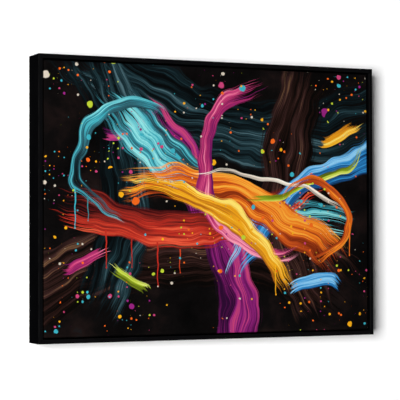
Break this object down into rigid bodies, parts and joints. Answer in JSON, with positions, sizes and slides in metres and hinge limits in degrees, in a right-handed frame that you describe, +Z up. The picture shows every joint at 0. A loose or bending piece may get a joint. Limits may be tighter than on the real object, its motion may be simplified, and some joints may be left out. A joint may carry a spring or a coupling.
{
  "type": "framed canvas print",
  "caption": "Landscape canvas print stretched on keyed pine bars, set back in a thin black float frame, with D-ring hangers and bumpers on the back so that it hangs flat on a wall.",
  "frame": {"origin": "midway between the two wall hooks, where the two D-rings' bows rest on them, on the plane of the wall", "axes": "+X to the right as seen from the front, +Y into the wall, so the print faces -Y, +Z up"},
  "size_m": [0.63, 0.055, 0.477],
  "materials": {
    "black_lacquered_wood": "satin black lacquer on solid wood",
    "pine": "planed, untreated",
    "key_wood": "sawn, untreated",
    "printed_canvas": "matt inkjet print on woven cotton canvas, bare on the back",
    "zinc_plated_steel": "bright zinc plate",
    "bumper_rubber": "matt"
  },
  "bodies": {
    "picture": {"frame_rail_top": "black_lacquered_wood", "frame_rail_bottom": "black_lacquered_wood", "frame_rail_left": "black_lacquered_wood", "frame_rail_right": "black_lacquered_wood", "stretcher_bar_top": "pine", "stretcher_bar_bottom": "pine", "stretcher_bar_left": "pine", "stretcher_bar_right": "pine", "corner_key_top_a": "key_wood", "corner_key_top_b": "key_wood", "corner_key_bottom_a": "key_wood", "corner_key_bottom_b": "key_wood", "corner_key_left_a": "key_wood", "corner_key_left_b": "key_wood", "corner_key_right_a": "key_wood", "corner_key_right_b": "key_wood", "canvas": "printed_canvas", "hanger_strap_left": "zinc_plated_steel", "hanger_strap_right": "zinc_plated_steel", "wall_bumper_left": "bumper_rubber", "wall_bumper_right": "bumper_rubber"},
    "ring_left": {"hanger_ring_left": "zinc_plated_steel"},
    "ring_right": {"hanger_ring_right": "zinc_plated_steel"}
  },
  "joints": [
    {"name": "ring_left_swing", "type": "hinge", "parent": "picture", "child": "ring_left", "pos_m": [-0.3005, -0.0028, -0.012], "axis": [-1, 0, 0], "range_deg": [0, 170]},
    {"name": "ring_right_swing", "type": "hinge", "parent": "picture", "child": "ring_right", "pos_m": [0.3005, -0.0028, -0.012], "axis": [-1, 0, 0], "range_deg": [0, 170]}
  ]
}
